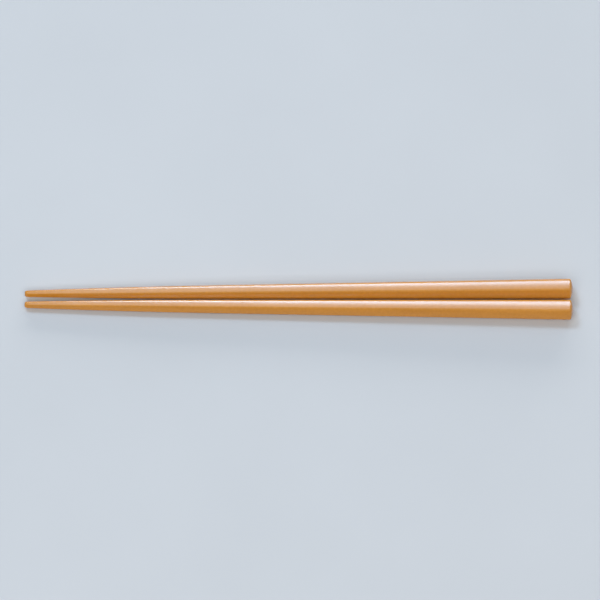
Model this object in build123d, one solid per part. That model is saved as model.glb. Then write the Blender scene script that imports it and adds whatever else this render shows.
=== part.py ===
from build123d import *
import math
import os

# A pair of six-sided plastic chopsticks lying side by side on a table, tips towards -X.
# Each stick is one solid moulding. Millimetres and degrees, +Z up.

# Length of a stick, and of the nose that curves in to its tip
stick_length = 225.0
nose_length = 75.0

# Thickness across two opposite facets: at the butt, where the nose begins, and at the tip
butt_flats = 8.1
nose_flats = 5.4
tip_flats = 2.55

# Facets: each is flat along its middle and rolls off towards its edges, sized here at the butt
facet_count = 6
land_width = 1.5
shoulder_radius = 11.0
edge_radius = 0.4

# Ends: height of each dome above the corners of its rim, and the rounding of that rim
butt_rise = 0.75
butt_rim_radius = 0.4
tip_rise = 0.5
tip_rim_radius = 0.25

# Slit between the two sticks
pair_gap = 0.6

# The blank runs past both ends by this much, and the envelope of the domes clears its corners by this much
blank_overrun = 1.0
envelope_clearance = 0.15

# Sections that carry the curve of the nose
nose_sections = 5

half_facet_angle = math.pi / facet_count
handle_slope = (butt_flats - nose_flats) / 2 / (stick_length - nose_length)


def flats_at(x):
    """Thickness across flats: a straight taper, which the nose leaves on a curve that drops to the tip."""
    straight = butt_flats - 2 * handle_slope * (stick_length - x)
    drop = butt_flats - 2 * handle_slope * stick_length - tip_flats
    along_nose = max(0.0, (nose_length - x) / nose_length)
    return straight - drop * along_nose**2


def facet_at(x):
    """Width of a facet's flat land and radius of its shoulders; the nose shrinks both with its thickness."""
    shrink = min(1.0, flats_at(x) / nose_flats)
    radius = shoulder_radius - (butt_flats - max(flats_at(x), nose_flats)) / 2
    return land_width * shrink, radius * shrink


def corner_at(x):
    """From the axis to the edge where two facets meet, before it is rounded."""
    land, radius = facet_at(x)
    centre = flats_at(x) / 2 - radius
    reach = land / 2 * math.sin(half_facet_angle) + centre * math.cos(half_facet_angle)
    return reach + math.sqrt(reach**2 - (land / 2) ** 2 - centre**2 + radius**2)


def section(x):
    """Outline of the stick at a distance from its tip, one facet up and one down."""
    land = facet_at(x)[0]
    height = flats_at(x) / 2
    corner = (corner_at(x) * math.sin(half_facet_angle), corner_at(x) * math.cos(half_facet_angle))
    flat = Line((-land / 2, height), (land / 2, height))
    shoulder = TangentArc((land / 2, height), corner, tangent=(1, 0))
    facet = Curve() + [flat, shoulder, mirror(shoulder, about=Plane.YZ)]
    turns = [Rot(Z=turn * 360 / facet_count) for turn in range(facet_count)]
    return Plane.YZ.offset(x) * make_face(Curve() + [turn * facet for turn in turns])


def dome(rim, rise):
    """Radius of a dome of this rise over its rim, and the point where its arc has run clear of the rim."""
    radius = (rim**2 + rise**2) / (2 * rise)
    clear = rim + envelope_clearance
    return radius, radius - math.sqrt(radius**2 - clear**2), clear


def distance_from_axis(edge):
    """Distance of an edge's middle from the stick's axis."""
    return math.hypot((edge @ 0.5).Y, (edge @ 0.5).Z)


def is_facet_edge(edge):
    """True for the long edges where two facets meet, and not for those between a land and its shoulder."""
    x = (edge @ 0.5).X
    land_border = math.hypot(flats_at(x) / 2, facet_at(x)[0] / 2)
    return edge.length > nose_length / 2 and distance_from_axis(edge) > (land_border + corner_at(x)) / 2


# Blank: the handle is drawn in from the butt at one angle, and the nose carries its end on along the curve.
handle_taper = math.degrees(math.atan(handle_slope))
handle_end = stick_length + blank_overrun
handle = extrude(section(handle_end), amount=nose_length - handle_end, taper=handle_taper)
nose_step = (nose_length + blank_overrun) / (nose_sections - 1)
nose = loft([section(nose_length - nose_step * step) for step in range(nose_sections)])

# Domed ends: the blank is turned down to an envelope that is round about the axis.
tip_radius, tip_depth, tip_clear = dome(corner_at(0), tip_rise)
butt_radius, butt_depth, butt_clear = dome(corner_at(stick_length), butt_rise)
tip_arc = RadiusArc((0, 0), (tip_depth, tip_clear), tip_radius)
butt_arc = RadiusArc((stick_length - butt_depth, butt_clear), (stick_length, 0), butt_radius)
wall = Polyline(tip_arc @ 1, (tip_depth, butt_clear), butt_arc @ 0)
axis_line = Line(butt_arc @ 1, tip_arc @ 0)
envelope = revolve(Plane.XZ * make_face(Curve() + [tip_arc, wall, butt_arc, axis_line]), Axis.X)
stick = (handle + nose) & envelope

# Rounded edges: along the facets first, then around both ends.
stick = fillet(stick.edges().filter_by(is_facet_edge), edge_radius)
butt_rim = stick.edges().filter_by(
    lambda edge: edge.center().X > stick_length - 2 * butt_rise and distance_from_axis(edge) > butt_flats / 3
)
stick = fillet(butt_rim, butt_rim_radius)
tip_rim = stick.edges().filter_by(
    lambda edge: edge.center().X < 2 * tip_rise and distance_from_axis(edge) > tip_flats / 3
)
stick = fillet(tip_rim, tip_rim_radius)

# At rest: the handle's lowest land lies flat on the table, which lifts the tip, and the facet edges
# that face each other run parallel, one on each side of the slit.
lean = math.degrees(math.atan(handle_slope))
corner_slope = (corner_at(stick_length) - corner_at(nose_length)) / (stick_length - nose_length)
swing = math.degrees(math.atan(corner_slope))
land_height = (butt_flats / 2 - handle_slope * stick_length) * math.cos(math.radians(lean))
lying = Rot(Z=swing) * Rot(Y=-lean) * stick
box = lying.bounding_box()
rear_chopstick = Pos(-box.center().X, pair_gap / 2 - box.min.Y, land_height) * lying
front_chopstick = mirror(rear_chopstick, about=Plane.XZ)

os.makedirs("parts", exist_ok=True)
export_step(rear_chopstick, "parts/rear_chopstick.step")
export_step(front_chopstick, "parts/front_chopstick.step")
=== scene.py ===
import math

import bmesh
import bpy
from mathutils import Matrix, Vector


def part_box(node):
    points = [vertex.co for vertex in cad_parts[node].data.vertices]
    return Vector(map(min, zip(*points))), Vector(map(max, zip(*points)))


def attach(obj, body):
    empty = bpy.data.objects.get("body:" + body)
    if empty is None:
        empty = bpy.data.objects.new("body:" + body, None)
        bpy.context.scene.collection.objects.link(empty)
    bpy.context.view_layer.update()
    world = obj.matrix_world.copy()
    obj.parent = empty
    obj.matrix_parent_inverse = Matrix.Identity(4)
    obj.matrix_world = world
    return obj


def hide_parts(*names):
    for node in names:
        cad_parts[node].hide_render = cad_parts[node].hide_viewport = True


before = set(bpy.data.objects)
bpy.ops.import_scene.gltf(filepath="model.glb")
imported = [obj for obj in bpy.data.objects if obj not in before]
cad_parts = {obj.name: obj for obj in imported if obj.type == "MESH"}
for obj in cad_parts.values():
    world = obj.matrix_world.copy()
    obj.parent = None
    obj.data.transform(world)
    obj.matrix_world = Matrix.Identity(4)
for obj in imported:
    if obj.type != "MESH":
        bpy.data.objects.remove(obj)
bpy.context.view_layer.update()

# The two chopsticks: like six-sided sticks of amber resin, thick at the butt and slim at the tip.
# Each is one solid injection moulding with a satin skin: facets that are crowned on the handle and
# flatten towards the tip, soft edges, domed ends. They lie loose, each on its lowest facet. Sizes in mm.
stick_length = 225.0
nose_length = 75.0
butt_flats = 8.1
nose_flats = 5.4
tip_flats = 2.55
facet_count = 6
facet_edge_radius = 0.7
handle_slope = (butt_flats - nose_flats) / 2 / (stick_length - nose_length)
facet_half_angle = math.pi / facet_count

# How steeply the facets roll off at their edges, how late across the facet that begins, and how late
# along the stick the butt's roll gives way to the tip's
butt_roll = math.radians(6.5)
butt_roll_power = 2.0
tip_roll = math.radians(10.0)
tip_roll_power = 5.0
roll_change_power = 3

# The domed ends: the rise of the cap, and the rounded rim between it and the facets
butt_cap_rise = 1.15
butt_rim_length = 0.55
butt_rim_inset = 0.45
tip_cap_rise = 0.35
tip_rim_length = 1.2
tip_rim_inset = 0.5

# How narrow the lighter line along each edge is, partly rubbed resin and partly a painted sheen, and how
# finely the mesh is divided
edge_wear_and_sheen_power = 12
facet_edge_steps = 6
facet_cuts = 11
cap_steps = 8
rim_steps = 10
handle_steps = 12
nose_steps = 24
merge_distance = 0.0005


def flats_at(x):
    """Thickness across flats at a distance from the tip: a straight taper that curves in along the nose."""
    straight = butt_flats - 2 * handle_slope * (stick_length - x)
    drop = butt_flats - 2 * handle_slope * stick_length - tip_flats
    return straight - drop * max(0.0, 1 - x / nose_length) ** 2


def corner_reach(flats):
    """From the axis to the corner between two facets, before it is softened."""
    return flats / 2 / math.cos(facet_half_angle)


def across_facet(point):
    """Where a point lies across its facet: 0 in the middle, 1 at either edge."""
    turn = math.atan2(point.co.y, point.co.z) % (2 * facet_half_angle)
    return math.tan(min(turn, 2 * facet_half_angle - turn)) / math.tan(facet_half_angle)


def facet_fall(x, point):
    """How far a facet has rolled away at a point, as a share of its height: all across at the butt, and
    only near its edges at the tip."""
    towards_tip = (1 - x / stick_length) ** roll_change_power
    slope = butt_roll + (tip_roll - butt_roll) * towards_tip
    power = butt_roll_power + (tip_roll_power - butt_roll_power) * towards_tip
    return math.tan(facet_half_angle) * slope * across_facet(point) ** power / power


def end_rings(flats, rim_length, rim_inset):
    """Rings of a domed end from its apex out to the facets: thickness, drop down the rim, and the share of
    wear and painted sheen, which is full halfway round the rim."""
    inner = flats - 2 * rim_inset
    rings = [(inner * i / cap_steps, 0.0, 0.0) for i in range(1, cap_steps)]
    for i in range(rim_steps + 1):
        turn = math.pi / 2 * i / rim_steps
        thickness = inner + 2 * rim_inset * math.sin(turn)
        drop = rim_length * (1 - math.cos(turn))
        rings.append((thickness, drop, math.sin(2 * turn) ** 2))
    return rings


def rings_along_stick():
    """Each ring's distance from the tip, thickness, bulge, and share of wear and painted sheen, from the
    butt's dome to the tip's. The bulge moves a point along the stick, by so much for each square millimetre
    from the axis."""
    butt_rim = stick_length - butt_cap_rise - butt_rim_length
    tip_rim = tip_cap_rise + tip_rim_length
    butt_bulge = -butt_cap_rise / corner_reach(butt_flats) ** 2
    tip_bulge = tip_cap_rise / corner_reach(tip_flats) ** 2
    rings = []
    for thickness, drop, wear_and_sheen in end_rings(flats_at(butt_rim), butt_rim_length, butt_rim_inset):
        rings.append((stick_length - drop, thickness, butt_bulge, wear_and_sheen))
    for i in range(1, handle_steps + 1):
        x = butt_rim + (nose_length - butt_rim) * i / handle_steps
        rings.append((x, flats_at(x), 0.0, 0.0))
    for i in range(1, nose_steps):
        x = nose_length + (tip_rim - nose_length) * i / nose_steps
        rings.append((x, flats_at(x), 0.0, 0.0))
    for thickness, drop, wear_and_sheen in reversed(end_rings(flats_at(tip_rim), tip_rim_length, tip_rim_inset)):
        rings.append((drop, thickness, tip_bulge, wear_and_sheen))
    return rings


def mould_stick():
    """One stick along +X with the apex of its tip at the origin, in millimetres."""
    bm = bmesh.new()
    edge_wear_and_sheen = bm.verts.layers.float.new("edge_wear_and_sheen")
    bmesh.ops.create_circle(bm, cap_ends=True, segments=facet_count, radius=corner_reach(butt_flats),
                            matrix=Matrix.Rotation(math.radians(-90), 4, "Y"))
    bmesh.ops.bevel(bm, geom=bm.verts[:], affect="VERTICES", offset_type="ABSOLUTE",
                    offset=facet_edge_radius * math.tan(facet_half_angle),
                    segments=facet_edge_steps, profile=0.5, material=-1)
    facets = [e for e in bm.edges if e.calc_length() > facet_edge_radius]
    bmesh.ops.subdivide_edges(bm, edges=facets, cuts=facet_cuts)
    for point in bm.verts:
        point.co.yz *= 1 - facet_fall(stick_length, point)

    # The section shrinks to the first ring, and is drawn out from ring to ring to the apex of the tip.
    butt_end = tip_end = bm.faces[:][0]
    points = butt_end.verts[:]
    here, here_flats = stick_length, butt_flats
    for number, (there, there_flats, bulge, rim_wear_and_sheen) in enumerate(rings_along_stick()):
        if number > 0:
            grown = bmesh.ops.extrude_face_region(bm, geom=[tip_end, *tip_end.edges])["geom"]
            tip_end = next(g for g in grown if isinstance(g, bmesh.types.BMFace))
            points = [g for g in grown if isinstance(g, bmesh.types.BMVert)]
        bmesh.ops.scale(bm, verts=points, vec=(1, there_flats / here_flats, there_flats / here_flats))
        for point in points:
            point.co.yz *= (1 - facet_fall(there, point)) / (1 - facet_fall(here, point))
            point.co.x = there + bulge * point.co.yz.length_squared
            # Each point's share of wear and painted sheen: rubbed resin, and a painted lighter sheen along
            # the edges and round the rims
            point[edge_wear_and_sheen] = max(across_facet(point) ** edge_wear_and_sheen_power, rim_wear_and_sheen)
        here, here_flats = there, there_flats
    for end, apex in ((butt_end, stick_length), (tip_end, 0.0)):
        bmesh.ops.poke(bm, faces=[end])["verts"][0].co = (apex, 0, 0)
    bmesh.ops.remove_doubles(bm, verts=bm.verts[:], dist=merge_distance)
    for face in bm.faces:
        face.smooth = True
    return bm


# The resin's skin: a fine moulded grain over slow swells, faint flow streaks along the stick, a butt that
# is duller than the nose, and edges that handling has rubbed smoother and that are painted a little lighter,
# partly as rubbed resin and partly as a painted sheen.
# Cells are counted by the metre, heights and places are in metres, and spans are values of the noise.
pale_amber = (0.58, 0.234, 0.026)
deep_amber = (0.51, 0.200, 0.020)
rubbed_and_sheen_amber = (0.62, 0.258, 0.030)
resin_ior = 1.58
streak_cells, streak_stretch = 260, 14
mottle_cells = 850
paleness_span = (0.75, 1.25)
grain_cells, grain_height = 4600, 1.2e-6
swell_cells, swell_stretch, swell_height = 190, 5, 2.5e-5
wear_and_sheen_span = (0.35, 0.65)
least_wear_and_sheen, most_wear_and_sheen = 0.1, 0.5
nose_place, nose_roughness = -0.070, 0.125
butt_place, butt_roughness = 0.100, 0.225
patch_span = (0, 0.7)
smoothest_patch, dullest_patch = -0.03, 0.025


def cell_noise(tree, cells, detail, stretch=1.0):
    """Noise through the piece with this many cells a metre, drawn out along X."""
    place = tree.nodes.new("ShaderNodeTexCoord")
    mapping = tree.nodes.new("ShaderNodeMapping")
    mapping.inputs["Scale"].default_value = (1 / stretch, 1, 1)
    noise = tree.nodes.new("ShaderNodeTexNoise")
    noise.inputs["Scale"].default_value = cells
    noise.inputs["Detail"].default_value = detail
    tree.links.new(place.outputs["Object"], mapping.inputs["Vector"])
    tree.links.new(mapping.outputs["Vector"], noise.inputs["Vector"])
    return noise.outputs["Fac"]


def spread(tree, value, span, onto=(0, 1)):
    """Maps a value from one span of numbers onto another, held at the ends."""
    ranged = tree.nodes.new("ShaderNodeMapRange")
    for name, number in zip(("From Min", "From Max", "To Min", "To Max"), (*span, *onto)):
        ranged.inputs[name].default_value = number
    tree.links.new(value, ranged.inputs["Value"])
    return ranged.outputs["Result"]


def combine(tree, first, operation, second):
    """Adds, subtracts or multiplies two values."""
    maths = tree.nodes.new("ShaderNodeMath")
    maths.operation = operation
    tree.links.new(first, maths.inputs[0])
    tree.links.new(second, maths.inputs[1])
    return maths.outputs["Value"]


def blend_colours(tree, share, first, second):
    """Mixes two colours, each a fixed colour or a socket, by a share from 0 to 1."""
    mix = tree.nodes.new("ShaderNodeMix")
    mix.data_type = "RGBA"
    tree.links.new(share, mix.inputs["Factor"])
    for colour, socket in ((first, mix.inputs["A"]), (second, mix.inputs["B"])):
        if isinstance(colour, tuple):
            socket.default_value = (*colour, 1)
        else:
            tree.links.new(colour, socket)
    return mix.outputs["Result"]


def bump(tree, height, distance):
    """Raises the surface by a height from 0 to 1, times a distance."""
    raised = tree.nodes.new("ShaderNodeBump")
    raised.inputs["Distance"].default_value = distance
    tree.links.new(height, raised.inputs["Height"])
    return raised


resin = bpy.data.materials.new("satin amber resin")
resin.use_nodes = True
tree = resin.node_tree
skin = tree.nodes["Principled BSDF"]
skin.inputs["IOR"].default_value = resin_ior

streaks = cell_noise(tree, streak_cells, detail=3, stretch=streak_stretch)
mottle = cell_noise(tree, mottle_cells, detail=4)
# The share of wear and painted sheen along the edges, carried on the mesh
wear_and_sheen = tree.nodes.new("ShaderNodeAttribute")
wear_and_sheen.attribute_name = "edge_wear_and_sheen"
rubbing_and_sheen = spread(tree, mottle, wear_and_sheen_span, (least_wear_and_sheen, most_wear_and_sheen))
rubbed_and_sheen = combine(tree, wear_and_sheen.outputs["Fac"], "MULTIPLY", rubbing_and_sheen)

paleness = spread(tree, combine(tree, streaks, "ADD", mottle), paleness_span)
amber = blend_colours(tree, paleness, deep_amber, pale_amber)
# Edges are painted lighter: partly rubbed resin, partly a painted sheen
tree.links.new(blend_colours(tree, rubbed_and_sheen, amber, rubbed_and_sheen_amber), skin.inputs["Base Color"])

stick_place = tree.nodes.new("ShaderNodeTexCoord")
along = tree.nodes.new("ShaderNodeSeparateXYZ")
tree.links.new(stick_place.outputs["Object"], along.inputs["Vector"])
dulled = spread(tree, along.outputs["X"], (nose_place, butt_place), (nose_roughness, butt_roughness))
unrubbed = combine(tree, mottle, "SUBTRACT", rubbed_and_sheen)
patches = spread(tree, unrubbed, patch_span, (smoothest_patch, dullest_patch))
tree.links.new(combine(tree, dulled, "ADD", patches), skin.inputs["Roughness"])

swell = bump(tree, cell_noise(tree, swell_cells, detail=1, stretch=swell_stretch), swell_height)
grain = bump(tree, cell_noise(tree, grain_cells, detail=2), grain_height)
tree.links.new(swell.outputs["Normal"], grain.inputs["Normal"])
tree.links.new(grain.outputs["Normal"], skin.inputs["Normal"])

# At rest each stick lies on its lowest facet, which lifts the tip, and swings so that the edges that face
# each other run along both sides of the slit. Each is rolled a hair on its crowned facet, and widened for
# what its soft edges take off. The front one is mirrored.
lean = math.atan(handle_slope)
rear_swing, rear_roll = math.radians(0.6), math.radians(0.6)
front_swing, front_roll = math.radians(0.563), math.radians(0.2)
widening = 1.016
metres_per_mm = 0.001

for node, side, swing, roll in (("rear_chopstick", 1, rear_swing, rear_roll),
                                ("front_chopstick", -1, front_swing, front_roll)):
    low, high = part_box(node)
    bm = mould_stick()
    bmesh.ops.transform(bm, verts=bm.verts[:], matrix=Matrix.Scale(metres_per_mm, 4)
                        @ Matrix.Rotation(swing, 4, "Z") @ Matrix.Rotation(-lean, 4, "Y")
                        @ Matrix.Rotation(roll, 4, "X"))
    bmesh.ops.scale(bm, verts=bm.verts[:], vec=(1, side * widening, 1))
    bmesh.ops.recalc_face_normals(bm, faces=bm.faces[:])
    middle = (min(v.co.x for v in bm.verts) + max(v.co.x for v in bm.verts)) / 2
    back_side = max(v.co.y for v in bm.verts)
    bottom = min(v.co.z for v in bm.verts)
    bmesh.ops.translate(bm, verts=bm.verts[:],
                        vec=((low.x + high.x) / 2 - middle, high.y - back_side, low.z - bottom))
    mesh = bpy.data.meshes.new("moulded " + node)
    bm.to_mesh(mesh)
    bm.free()
    mesh.materials.append(resin)
    stick = bpy.data.objects.new("moulded_" + node, mesh)
    bpy.context.scene.collection.objects.link(stick)
    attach(stick, "root")
    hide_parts(node)

# The floor: a plain pale sheet of paper under the sticks, which catches their soft shadow.
# It lies a hair below them, and its only texture is a faint cloudiness. Metres.
floor_reach = 3.0
floor_drop = 0.00005
shaded_paper = (0.530, 0.535, 0.545)
pale_paper = (0.548, 0.553, 0.563)
paper_roughness = 0.8
cloud_cells, cloud_span = 12, (0.3, 0.7)

paper = bpy.data.materials.new("pale paper")
paper.use_nodes = True
tree = paper.node_tree
sheet = tree.nodes["Principled BSDF"]
sheet.inputs["Roughness"].default_value = paper_roughness
clouds = spread(tree, cell_noise(tree, cloud_cells, detail=3), cloud_span)
tree.links.new(blend_colours(tree, clouds, shaded_paper, pale_paper), sheet.inputs["Base Color"])

bm = bmesh.new()
bmesh.ops.create_grid(bm, x_segments=1, y_segments=1, size=floor_reach)
bmesh.ops.translate(bm, verts=bm.verts[:], vec=(0, 0, -floor_drop))
mesh = bpy.data.meshes.new("floor")
bm.to_mesh(mesh)
bm.free()
mesh.materials.append(paper)
floor = bpy.data.objects.new("floor", mesh)
bpy.context.scene.collection.objects.link(floor)

# The light: a key light behind on the left lays the sticks' shadow, and soft boxes behind and above them
# shine in the satin facets. Broad fills from behind and in front, and a pale even room, light the rest.
# Metres and degrees; a lamp of brightness 1 is white where it is mirrored.
cool_light = (0.52, 0.75, 1.0)
paler_light = (0.6, 0.8, 1.0)
warm_light = (1, 0.97, 0.92)
white_light = (1, 1, 1)
watts_a_square_metre = 4
room_light = 0.2
room_seen = 0.4


def soft_box(name, azimuth, elevation, distance, size, brightness, colour, mirrored=True, lights=True):
    """A lamp that faces the sticks, at an angle from straight behind them, turned to the right, and an angle
    up. One that isn't mirrored only lights the sticks, and one that doesn't light only shines in them."""
    a, e = math.radians(azimuth), math.radians(elevation)
    place = Vector((distance * math.cos(e) * math.sin(a), distance * math.cos(e) * math.cos(a),
                    distance * math.sin(e)))
    lamp = bpy.data.lights.new(name, "AREA")
    lamp.shape = "RECTANGLE"
    lamp.size, lamp.size_y = size
    lamp.energy = watts_a_square_metre * size[0] * size[1] * brightness
    lamp.color = colour
    box = bpy.data.objects.new(name, lamp)
    box.location = place
    box.rotation_euler = (-place).to_track_quat("-Z", "Y").to_euler()
    box.visible_camera = False
    box.visible_glossy = mirrored
    box.visible_diffuse = lights
    bpy.context.scene.collection.objects.link(box)


soft_box("key light", azimuth=-40, elevation=56.5, distance=2.5, size=(0.6, 0.6), brightness=16.6,
         colour=cool_light, mirrored=False)
soft_box("back soft box", azimuth=6, elevation=56.5, distance=2.5, size=(0.9, 0.38), brightness=17.5,
         colour=cool_light, lights=False)
soft_box("its right end", azimuth=31, elevation=47, distance=2.5, size=(0.9, 0.6), brightness=13,
         colour=cool_light, lights=False)
soft_box("its dim top", azimuth=3, elevation=71.5, distance=2.5, size=(0.9, 0.86), brightness=1.9,
         colour=paler_light)
soft_box("back fill", azimuth=0, elevation=12, distance=2.2, size=(2.4, 0.8), brightness=6.0,
         colour=warm_light, mirrored=False)
soft_box("front fill", azimuth=180, elevation=55, distance=2.2, size=(2.6, 1.5), brightness=2.55,
         colour=white_light, mirrored=False)

room = bpy.data.worlds.new("room")
room.use_nodes = True
tree = room.node_tree
background = tree.nodes["Background"]
background.inputs["Color"].default_value = (*white_light, 1)
rays = tree.nodes.new("ShaderNodeLightPath").outputs
seen = combine(tree, rays["Is Camera Ray"], "ADD", rays["Is Glossy Ray"])
seen = combine(tree, seen, "ADD", rays["Is Transmission Ray"])
tree.links.new(spread(tree, seen, (0, 1), (room_light, room_seen)), background.inputs["Strength"])
bpy.context.scene.world = room

# The camera: far off in front and 63 degrees up, with a long lens that hardly shrinks the farther stick.
# It is rolled by a quarter of a degree, and aims a hair to the right of the pair's middle and above it.
# Metres, apart from the sensor's millimetres.
camera_rise = math.radians(63)
camera_roll = math.radians(0.25)
camera_distance = 3.0
picture_pixels = 600
pixel_size = 0.4108e-3
sensor_width = 36
aim_right = 0.00057
aim_up = 0.00105

to_camera = Vector((0, -math.cos(camera_rise), math.sin(camera_rise)))
picture_up = Vector((0, math.sin(camera_rise), math.cos(camera_rise)))
aim = Vector((aim_right, 0, 0)) + aim_up * picture_up
lens = bpy.data.cameras.new("camera")
lens.sensor_width = sensor_width
lens.lens = sensor_width * camera_distance / (picture_pixels * pixel_size)
camera = bpy.data.objects.new("camera", lens)
camera.matrix_world = (Matrix.Translation(aim + camera_distance * to_camera)
                       @ Matrix.Rotation(math.pi / 2 - camera_rise, 4, "X")
                       @ Matrix.Rotation(camera_roll, 4, "Z"))
bpy.context.scene.collection.objects.link(camera)
bpy.context.scene.camera = camera
bpy.context.scene.view_settings.view_transform = "Standard"
